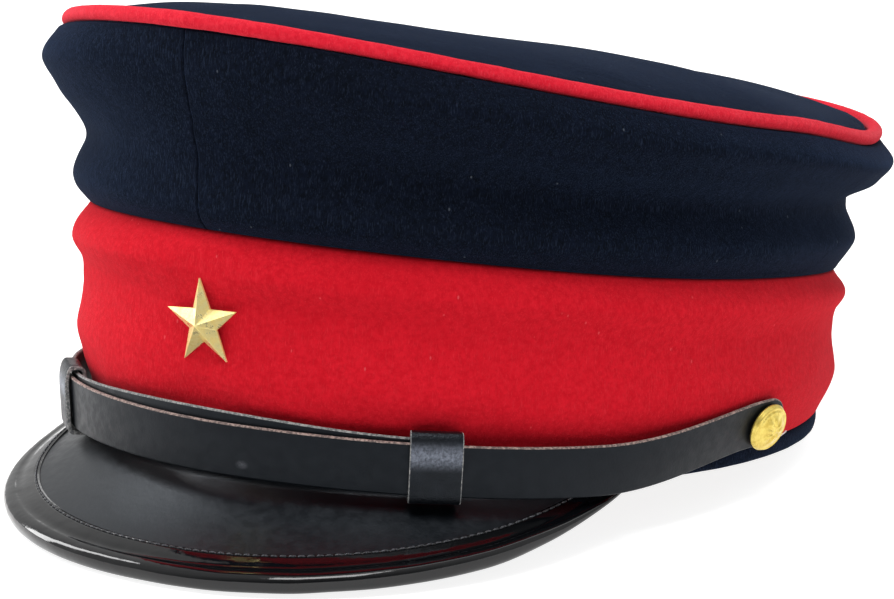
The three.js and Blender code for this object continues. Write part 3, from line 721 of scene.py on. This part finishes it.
def sweatband():
    """The leather lies a little unevenly, with a slack top edge rounded over."""
    low, high, thick = SWEATBAND["bottom"], SWEATBAND["top"], SWEATBAND["thickness"]
    heights = np.linspace(low, high, 26)
    turns = np.radians(np.linspace(-90, 90, 7))
    crest = [(thick / 2 + thick / 2 * np.sin(t), high + 0.5 * np.cos(t)) for t in turns]
    section = np.array([(0.0, h) for h in heights] + crest[1:-1] + [(thick, h) for h in heights[::-1]])
    angle, index = grid(full_turn(400), np.arange(len(section)))
    stand_off, height = np.moveaxis(section[index.astype(int)], -1, 0)
    base = on_ring(HEAD, angle, height)
    slack = smooth(height, low + 6, high) * (0.9 * soft_noise(base, (34, 34, 60), 17) - 0.5)
    waves = 0.12 * soft_noise(base, (11, 11, 7), 18)
    sewn = -0.25 * np.exp(-(((height - low - 3) / 0.7) ** 2)) * (stand_off < thick / 2)
    return loft(base + outward(HEAD, angle, stand_off + slack + waves - sewn), closed=True)


def sweatband_stitches():
    angles = np.linspace(0, 360, 1500)
    line = ring_point(HEAD, angles, SWEATBAND["bottom"] + 3.0, 0.14)
    return stitches(line, -outward(HEAD, angles), **SWEATBAND_STITCH)


def welt():
    """The covered cord that joins the sweatband to the band's foot."""
    angle, turn = grid(full_turn(420), full_turn(14))
    radius = WELT_RADIUS * (1 + 0.03 * sin_of(angle * 150))
    out = SWEATBAND["thickness"] + radius * cos_of(turn)
    return loft(ring_point(HEAD, angle, WELT_RADIUS + GAP + radius * sin_of(turn), out), closed=True)


def bow():
    """A ribbon bow: two loops, two ends and a knot, flat against the sweatband at the back."""
    wall = HEAD[1] - 0.9
    centre = np.array([0.0, wall - 0.2, 12.0])
    shapes = []
    for side in (-1, 1):
        t = np.radians(np.linspace(8, 352, 40))
        reach = side * (1.0 + 3.8 * (1 - np.cos(t)))
        loop = np.stack([reach, 0.25 * np.cos(t), 3.4 * np.sin(t) * np.sin(t / 2)], -1)
        shapes.append(tube(loop + centre, 0.75, 8, 0.22, up=(0, 0.02, 1)))
        t = np.linspace(0, 1, 12)
        end = np.stack([side * (0.8 + 4.6 * t), -0.1 - 0.2 * t, -0.6 - 3.0 * t**1.4], -1)
        shapes.append(tube(end + centre, 0.75, 8, 0.22, up=(0, 0.02, 1)))
    t = np.linspace(-1, 1, 9)
    knot = np.stack([0 * t, 0 * t, 1.3 * t], -1)
    shapes.append(tube(knot + centre, 1.15 * np.sqrt(1.02 - t**2), 12, 0.7, up=(0, 1, 0)))
    return joined(shapes)


def band_stiffener():
    angle, level = grid(full_turn(360), np.linspace(0, 1, 14))
    share = mix((EDGING_HEIGHT + GAP) / seam_above(angle), STIFFENER["top"], level)
    return sheet(*(band_point(angle, share, STIFFENER[face]) for face in ("outer", "inner")), closed=True)


def loose_thread():
    """A white thread end that stands out of the edging's seam behind the button."""
    t = np.linspace(0, 1, 10)
    angles = 99.0 + 1.1 * t
    path = band_point_at(angles, 5.0 + 1.3 * np.sin(t * 2.4), 1.2 + 0.9 * np.sin(t * 3.0))
    return tube(path, 0.16 * (1.05 - t**4 * 0.5), 6)


def make_band():
    piece("band_cloth", band_cloth(), [RED], "red_wool", "red_band")
    piece("edging_cloth", edging(), [NAVY], "navy_wool", "band_edging")
    piece("stiffener_board", band_stiffener(), [BOARD], "fibre_board", "band_stiffener")
    piece("sweatband_leather", sweatband(), [TAN], "tan_leather", "sweatband")
    piece("sweatband_stitching", sweatband_stitches(), [TAN_THREAD], "tan_leather")
    piece("welt_cord", welt(), [RIBBON], "black_sateen", "sweatband_welt")
    piece("ribbon_bow", bow(), [RIBBON], "black_sateen", "sweatband_bow")
    piece("loose_thread", loose_thread(), [WHITE_THREAD], "red_wool")


# ---- peak

def peak_root(turn):
    return ring_point(FOOT, turn / 90 * PEAK["half_angle"], -PEAK["root_depth"], -PEAK["tuck"])


def peak_edge(turn):
    end = on_ring(FOOT, PEAK["half_angle"], 0.0)
    side, front = sin_of(turn), cos_of(turn)
    x = end[0] * np.sign(side) * np.abs(side) ** PEAK_CURVE["across"]
    y = end[1] - PEAK["reach"] * front ** PEAK_CURVE["forward"]
    z = -PEAK["root_depth"] - PEAK["drop"] * front ** PEAK_CURVE["down"]
    z = z + PEAK_SKIVE["lift"] * smooth(np.abs(turn), PEAK_SKIVE["start"], PEAK_END)
    return np.stack([x, y, z], -1)


def peak_middle(turn, share):
    root, edge = peak_root(turn), peak_edge(turn)
    point = mix(root, edge, share[..., None])
    point[..., 2] = mix(root[..., 2], edge[..., 2], share + PEAK["sag"] * share * (1 - share))
    return point


def peak_normal(turn, share):
    along = peak_middle(turn + 0.5, share) - peak_middle(turn - 0.5, share)
    across = peak_middle(turn, share + 0.01) - peak_middle(turn, share - 0.01)
    return unit(np.cross(across, along))


def peak_length(turn):
    return np.linalg.norm(peak_edge(turn) - peak_root(turn), axis=-1)


def peak_point(turn, share, above):
    """Above the peak's middle. The peak is skived thinner towards its ends."""
    thinned = above * mix(1, PEAK_SKIVE["left"], smooth(np.abs(turn), PEAK_SKIVE["start"], PEAK_END))
    return peak_middle(turn, share) + peak_normal(turn, share) * thinned[..., None]


def peak_turns(count):
    """Stations round the peak, closer together towards its ends."""
    return PEAK_END * sin_of(np.linspace(-90, 90, count))


def peak_layer(top, bottom, back, dents=0.0, lip=0.0):
    """One layer of the peak. A lip curves its root up to where it is sewn in."""
    levels = np.r_[0, 0.008, 0.016, 0.024, np.linspace(0.032, 1, 33)]
    turn, level = grid(peak_turns(150), levels)
    share = level * (1 - back / peak_length(turn))
    raised = lip * (1 - smooth(share * peak_length(turn), 0, 2.0))
    base = peak_point(turn, share, top)
    uneven = dents * (soft_noise(base, 24, 19) + 0.4 * soft_noise(base, 9, 20))
    outer = peak_point(turn, share, top + uneven + raised)
    inner = peak_point(turn, share, bottom)
    return sheet(outer, inner)


def binding_top(beyond):
    """The binding's top face: skived edge, stitched groove, shallow hollow and the ridge along the rim."""
    skived = 1.9 + 0.45 * smooth(beyond, -BINDING_FLAP, -BINDING_FLAP + 0.8)
    groove = hump(beyond, -STITCH_LINE, 0.4, 0.28)
    hollow = hump(beyond, -3.4, 1.5, 0.2)
    ridge = 0.15 * smooth(beyond, -2.6, -1.2)
    return skived - groove - hollow + ridge


def binding():
    """It folds over the edge, and its flaps shorten where the peak runs out under the strap."""
    turns = peak_turns(260)
    flat = np.linspace(0, 1, 42)
    bend = np.radians(np.linspace(86, -86, 22))
    sections = []
    for turn in turns:
        length = peak_length(turn)
        flap = -max(1.6, min(BINDING_FLAP, length - 0.6))
        run = mix(flap, -1.2, flat)
        top = [(b, binding_top(b)) for b in run]
        round_nose = np.copysign(2.5 * np.abs(np.sin(bend)) ** 0.85, bend)
        nose = list(zip(-1.1 + 3.6 * np.cos(bend) ** 0.62, round_nose))
        under = [(b, -2.5) for b in run[::-6]]
        inside = [(flap, -1.8), (-1.4, -1.8), (0.3, -1.1), (0.6, 0.0), (0.3, 1.1), (-1.4, 1.7), (flap, 1.7)]
        section = np.array(top + nose + under + inside)
        at = np.full(len(section), turn)
        sections.append(peak_point(at, 1 + section[:, 0] / length, section[:, 1]))
    sections = np.array(sections)
    visible = 0.12 * soft_noise(sections, 9, 21)
    visible[:, -7:] = 0
    sections[..., 2] += visible
    return loft(sections)


def binding_stitches():
    turns = np.linspace(-84, 84, 1600)
    length = peak_length(turns)
    share = 1 - np.minimum(STITCH_LINE, length - 2.6) / length
    line = peak_point(turns, share, binding_top(-STITCH_LINE) + 0.1)
    return stitches(line, peak_normal(turns, share), **PEAK_STITCH)


def make_peak():
    layers = {name: peak_layer(*layer) for name, layer in PEAK_LAYERS.items()}
    piece("peak_leather", layers["upper"], [UPPER], "black_leather", "peak_upper")
    piece("peak_core", layers["board"], [BOARD], "fibre_board", "peak_board")
    piece("peak_underside", layers["lining"], [UNDERSIDE], "peak_underside", "peak_lining")
    piece("peak_rim", binding(), [PATENT], "patent_leather", "peak_binding")
    piece("peak_stitching", binding_stitches(), [BLACK_THREAD], "black_leather")


# ---- chin strap

def strap_height(angle):
    away = np.abs(angle)
    return 6.3 - 1.6 * smooth(away, 10, 60) + 7.0 * smooth(away, 60, 94)


def under_lift(angle):
    ride = 1.7 * cos_of(angle * 2.4) ** 2 * (np.abs(angle) < 37.5)
    return 1.0 * (1 - smooth(angle, 50, 70)) + ride


def rounded_box(low, high, back, front, corners, count):
    """A rounded rectangle as (stand-off, height) points. corners holds each corner's two radii, from the
    front's foot by way of its top to the back's foot, and count is the points on each corner."""
    points = []
    for place, (deep, tall) in enumerate(corners):
        turn = np.linspace(90 * place - 90, 90 * place, count)
        x = front - deep if place < 2 else back + deep
        y = high - tall if place in (1, 2) else low + tall
        points.append(np.stack([x + deep * cos_of(turn), y + tall * sin_of(turn)], -1))
    return np.vstack(points)


def strap_half(side, layer, lift):
    """One strap half, from its round tab at the button to its free end. It leans with the band, and lies flat
    under the button, which faces a little down and forwards."""
    degrees_per_mm = math.degrees(1 / FOOT[1])
    tip = STRAP_HALF_WIDTH
    tab = np.radians(np.linspace(88, 4, 16))
    stations = [(90 + tip * math.sin(t) * degrees_per_mm, tip * math.cos(t)) for t in tab]
    stations += [(a, tip) for a in np.linspace(90, STRAP_END + 1.2, 240)]
    stations += [(STRAP_END + 0.6, 6.0), (STRAP_END + 0.2, 5.2), (STRAP_END, 4.0)]
    sections = []
    for angle, half in stations:
        near = float(smooth(angle, 50, 84))
        middle = float(strap_height(angle) + lift(angle))
        inner, outer = (mix(layer[k], STRAP_AT_BUTTON[k], near) for k in (0, 1))
        radius = min(STRAP_EDGE, half / 2)
        points = rounded_box(-half, half, inner, outer, [(radius, radius)] * 4, 5)
        droop = near * math.radians(BUTTON["droop"])
        height = middle + points[:, 1] * math.cos(droop)
        lean = mix(height, BUTTON["height"], near)
        behind = float(np.clip((angle - 90) / degrees_per_mm, -tip, tip))
        yawed = near * behind * math.tan(math.radians(BUTTON["yaw"]))
        out = points[:, 0] + points[:, 1] * math.sin(droop) + yawed
        at = np.full(len(points), side * angle)
        section = band_point_at(at, lean, out)
        section[:, 2] = height
        sections.append(section)
    sections = np.array(sections)
    sway = 0.16 * soft_noise(sections.mean(1), 26, 22)
    sections += outward(FOOT, np.array([side * a for a, _ in stations]), sway)[:, None]
    # Only the upper cut edge takes the pale edge leather. The lower cut edge keeps the dark strap leather as
    # painted shade, since it lies in shadow.
    upper_edge = [0] * 5 + [1] * 9 + [0] * 6
    return loft(sections, slots=upper_edge)


def keeper(side):
    """A leather loop round both straps, round at the top where it folds over."""
    half_turn = math.degrees(KEEPER["width"] / 2 / KEEPER_CURVE)
    first, last = KEEPER["angle"] - half_turn, KEEPER["angle"] + half_turn
    angles = np.r_[first, np.linspace(first + 0.14, last - 0.14, 13), last]

    def loop(inset):
        corners = [(deep - inset, tall - inset) for deep, tall in KEEPER_CORNERS]
        return rounded_box(KEEPER["bottom"] + inset, KEEPER["top"] - inset, KEEPER["back"] + inset,
                           KEEPER["front"] - inset, corners, 13)

    widths = side * np.r_[angles, angles[::-1]]
    depth = np.repeat([0.0, 1.0], len(angles))
    edges = [0, len(angles) - 1, len(angles), -1]
    depth[edges] = mix(depth[edges], 0.5, 0.25)
    sections = []
    for (x1, y1), (x2, y2) in zip(loop(0), loop(KEEPER["leather"])):
        sections.append(band_point_at(widths, mix(y1, y2, depth), mix(x1, x2, depth)))
    face = [1] + [0] * (len(angles) - 3) + [1]
    return loft(np.array(sections), closed=True, slots=face + [1] + face + [1])


def make_strap():
    outer = ("outer", 1, STRAP_OUTER, lambda angle: 0.0, RAW_EDGE)
    under = ("under", -1, STRAP_UNDER, under_lift, GREY_EDGE)
    for name, side, layer, lift, edge in (outer, under):
        piece(f"strap_{name}", strap_half(side, layer, lift), [STRAP, edge], "strap_leather",
              f"chin_strap_{name}", body="chin_strap", sharp=60)
    for name, side in SIDES.items():
        piece(f"strap_keeper_{name}", keeper(side), [KEEPER_FACE, GREY_EDGE], "keeper_leather",
              f"keeper_{name}", body=f"keeper_{name}", sharp=50)


# ---- buttons and badge

BUTTON_PLACE = float(band_point_at(90.0, BUTTON["height"], STRAP_AT_BUTTON[1])[0])
SHANK_END = HEAD[0] + SWEATBAND["thickness"] + GAP / 2 - BUTTON_PLACE
PIN_PLACE = SHANK_END + PIN["from_shank_end"]
STAR_BACK = float(band_point_at(0.0, STAR["height"], STAR["back"])[1])


def facing(points, side):
    """Slants a button made at the origin, facing +X, and moves it onto the strap."""
    droop = Matrix.Rotation(math.radians(BUTTON["droop"]), 3, "Y")
    yaw = Matrix.Rotation(math.radians(-BUTTON["yaw"]), 3, "Z")
    turned = points @ np.array(yaw @ droop).T + (BUTTON_PLACE, 0, BUTTON["height"])
    return turned * (side, 1, 1)


def button_relief(radius, turn):
    """A rolled rim, a beaded ring and a plain eight-petalled rosette, as a height above the dome."""
    rim = hump(radius, 5.7, 0.3, 0.42)
    beads = hump(radius, 4.75, 0.26, 0.14) * (0.5 + 0.5 * cos_of(turn * 36))
    petal = cos_of(turn * 4) ** 2
    rosette = 0.34 * smooth(radius, 0.9, 1.5) * (1 - smooth(radius, 2.4, 4.1)) * petal**0.8
    boss = hump(radius, 0.0, 0.7, 0.22)
    return rim + beads + rosette + boss


def button(side):
    radii = np.r_[np.linspace(0, 5.9, 46), 5.9 + 0.35 * sin_of(np.linspace(15, 90, 6))]
    turn, radius = grid(full_turn(144), radii)
    share = radius / BUTTON["radius"]
    dome = 0.75 + (BUTTON["dome"] - 0.75) * (1 - share**2.1) ** 0.85
    front = np.stack([GAP + dome + button_relief(radius, turn) - 0.15, radius], -1)
    rim, shank = BUTTON["radius"], BUTTON["shank"]
    back_profile = np.array([(GAP + 0.35, rim), (GAP + 0.1, rim - 0.15), (GAP, rim - 0.45), (GAP, 2.0),
                             (-0.1, shank + 0.15), (-0.9, shank), (SHANK_END + 0.2, shank),
                             (SHANK_END, shank - 0.2), (SHANK_END, 0.0)])
    back = np.broadcast_to(back_profile, (len(turn), *back_profile.shape))
    along, out = np.moveaxis(np.concatenate([front, back], axis=1), -1, 0)
    points = np.stack([along, out * cos_of(turn[:, :1]), out * sin_of(turn[:, :1])], -1)
    return loft(facing(points, side), closed=True)


def split_pin(side):
    """Two thin legs through the shank, their ends bent apart."""
    shapes = []
    for leg in (-1, 1):
        y = np.linspace(-PIN["half_length"], PIN["half_length"], 15)
        spread = leg * (PIN["apart"] + PIN["splay"] * smooth(y, 1.2, PIN["half_length"]))
        path = np.stack([PIN_PLACE + 0 * y, y, spread], -1)
        shapes.append(tube(facing(path, side), PIN["radius"], 10, up=(1, 0, 0)))
    return joined(shapes)


def star_shape():
    turns = np.radians(np.arange(10) * 36)
    reach = np.where(np.arange(10) % 2, STAR["radius"] * STAR["waist"], STAR["radius"])
    outline = np.stack([reach * np.sin(turns), 0 * turns, reach * np.cos(turns)], -1)
    front = outline - (0, STAR["edge"], 0)
    points = np.vstack([outline, front, [[0, 0, 0]], [[0, -STAR["edge"] - STAR["rise"], 0]]])
    faces = []
    for i in range(10):
        after = (i + 1) % 10
        faces += [[20, after, i], [i, after, after + 10, i + 10], [21, i + 10, after + 10]]
    lean = math.atan2(SEAM[1] - FOOT[1], float(seam_above(0.0)))
    turned = Matrix.Rotation(lean, 3, "X") @ Matrix.Rotation(math.radians(STAR["lean"]), 3, "Y")
    points = points @ np.array(turned).T + (STAR["off_centre"], STAR_BACK, STAR["height"])
    uvs = [[[0.0, 0.0]] * len(face) for face in faces]
    return points, faces, [0] * len(faces), uvs


def star_prongs():
    """Two soft brass prongs through the band, bent flat behind the backplate."""
    plate = float(band_point_at(0.0, STAR["height"], STIFFENER["inner"] - 1.6)[1])
    shapes = []
    for side in (-1, 1):
        x = STAR["off_centre"] + side * 3.5
        t = np.radians(np.linspace(0, 90, 8))
        bend = np.stack([x + side * (1 - np.cos(t)), plate - 0.4 + np.sin(t), STAR["height"] + 0 * t], -1)
        start = [[x, y, STAR["height"]] for y in np.linspace(STAR_BACK - 0.4, plate - 0.8, 6)]
        end = [[x + side * k, plate + 0.6, STAR["height"]] for k in (2.0, 3.0, 4.0)]
        shapes.append(tube(np.array(start + bend.tolist() + end), 0.5, 10, up=(0, 0, 1)))
    return joined(shapes)


def make_metal():
    for name, side in SIDES.items():
        body = f"button_{name}"
        piece(f"side_button_{name}", button(side), [BUTTON_GILT], "gilt_brass", body, body=body, sharp=60)
        piece(f"split_pin_{name}", split_pin(side), [BRASS], "plain_brass", f"button_pin_{name}", body=body)
    piece("star", star_shape(), [GILT], "gilt_brass", "star_badge", sharp=10, bevel=0.04)
    piece("star_prongs", star_prongs(), [BRASS], "plain_brass")
    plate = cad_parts["star_backplate"]
    plate.data.materials.clear()
    plate.data.materials.append(BRASS)


# ---- stage, light and camera

CAMERA = {"azimuth": 35.51, "distance": 1.077, "height": 0.2064, "turn": 0.244, "pitch": -9.333, "roll": 2.93}
LENS = 167.6
DARK_SIDE = (0.55, -0.8, -0.22)
DIMMING = {"From Min": 0.2, "From Max": 0.95, "To Min": 0.7, "To Max": 0.12}
SEEN_WHITE = 1.05
FLOOR = {"half_size": 3.0, "behind_edge": 0.004, "clearance": 0.0006}


def make_camera():
    data = bpy.data.cameras.new("camera")
    data.lens = LENS
    data.sensor_width = 36
    data.clip_start, data.clip_end = 0.05, 20
    camera = in_scene("camera", data)
    stand = math.radians(CAMERA["azimuth"])
    turned = Matrix.Rotation(stand + math.radians(CAMERA["turn"]), 4, "Z")
    turned = turned @ Matrix.Rotation(math.radians(90 + CAMERA["pitch"]), 4, "X")
    turned = turned @ Matrix.Rotation(math.radians(CAMERA["roll"]), 4, "Z")
    place = Vector((math.sin(stand), -math.cos(stand), 0)) * CAMERA["distance"]
    place.z = CAMERA["height"]
    camera.matrix_world = Matrix.Translation(place) @ turned
    bpy.context.scene.camera = camera


def make_floor():
    """The cap rests on its rear rim and the peak's lowest edge, so the floor slopes in the cap's frame."""
    low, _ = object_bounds()
    rear = Vector((0, FOOT[1] * MM, 0))
    across = Vector((FLOOR["half_size"], 0, 0))
    along = (rear - Vector((0, low.y + FLOOR["behind_edge"], low.z))).normalized() * FLOOR["half_size"]
    middle = rear - across.cross(along).normalized() * FLOOR["clearance"]
    corners = [middle + across * a + along * b for a, b in ((-1, -1), (1, -1), (1, 1), (-1, 1))]
    mesh = bpy.data.meshes.new("floor")
    mesh.from_pydata([list(corner) for corner in corners], [], [(0, 1, 2, 3)])
    n = new_material("pale_floor")
    white = (1, 1, 1, 1)
    n.finish(Base_Color=(0.5, 0.5, 0.5, 1), Roughness=0.9, Emission_Color=white, Emission_Strength=0.85)
    mesh.materials.append(n.owner)
    in_scene("floor", mesh)


def make_world():
    """White surroundings, darker towards the front right."""
    world = bpy.data.worlds.new("studio")
    bpy.context.scene.world = world
    n = Nodes(world, "Background")
    dark = n.add("VectorMath", {0: n.direction, 1: DARK_SIDE}, operation="DOT_PRODUCT")
    dimmed = n.add("MapRange", {"Value": dark.outputs["Value"], **DIMMING}).outputs["Result"]
    seen = n.add("LightPath").outputs["Is Camera Ray"]
    strength = n.add("Mix", {0: seen, 2: dimmed, 3: SEEN_WHITE}).outputs[0]
    n.finish(Color=(1, 1, 1, 1), Strength=strength)


def soft_light(name, azimuth, elevation, distance, size, power):
    """A soft box that faces the cap. Azimuth 0 is in front and grows towards +X."""
    data = bpy.data.lights.new(name, "AREA")
    data.shape = "RECTANGLE"
    data.size, data.size_y = size
    data.energy = power
    lamp = in_scene(name, data)
    a, e = math.radians(azimuth), math.radians(elevation)
    towards = Vector((math.sin(a) * math.cos(e), -math.cos(a) * math.cos(e), math.sin(e)))
    lamp.location = Vector((0, -0.02, 0.04)) + towards * distance
    lamp.rotation_mode = "QUATERNION"
    lamp.rotation_quaternion = towards.to_track_quat("Z", "Y")


make_camera()
make_crown()
make_band()
make_peak()
make_strap()
make_metal()
make_floor()
make_world()
soft_light("key", 25, 58, 1.3, (0.6, 0.6), 11)
soft_light("left", -75, 25, 1.1, (0.3, 1.0), 9)
soft_light("behind", -150, 13, 1.4, (0.9, 0.5), 1.2)
soft_light("above", 160, 75, 1.3, (0.9, 0.9), 3)
bpy.context.scene.view_settings.view_transform = "Standard"
